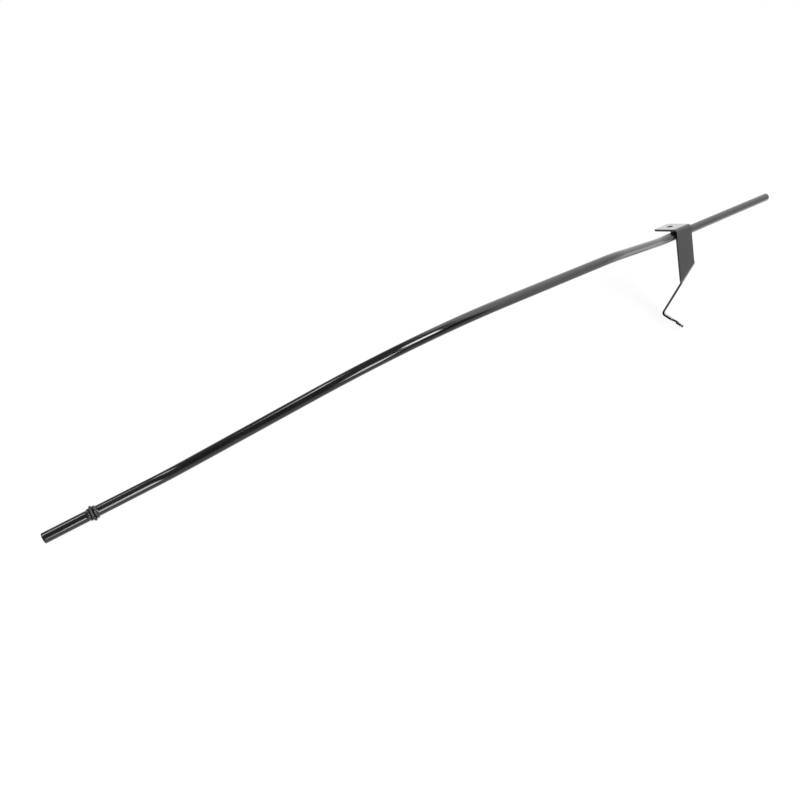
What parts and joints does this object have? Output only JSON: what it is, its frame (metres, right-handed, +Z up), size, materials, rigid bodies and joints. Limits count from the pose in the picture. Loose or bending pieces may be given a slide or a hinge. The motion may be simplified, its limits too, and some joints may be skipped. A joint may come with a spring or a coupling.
{
  "type": "oil dipstick tube",
  "caption": "Bent steel oil dipstick tube with a sealing ring between two beads at its lower end and a folded strap bracket near its top.",
  "frame": {"origin": "centre of the tube's lower end face", "axes": "+Z up with the tube set down on its lower end and the bracket's foot; +X level, from the lower end towards the upper end"},
  "size_m": [0.8725, 0.0814, 0.149],
  "materials": {
    "paint": "gloss",
    "seal": "matte"
  },
  "bodies": {
    "root": {"tube": "paint", "bracket": "paint", "o_ring": "seal"}
  },
  "joints": []
}
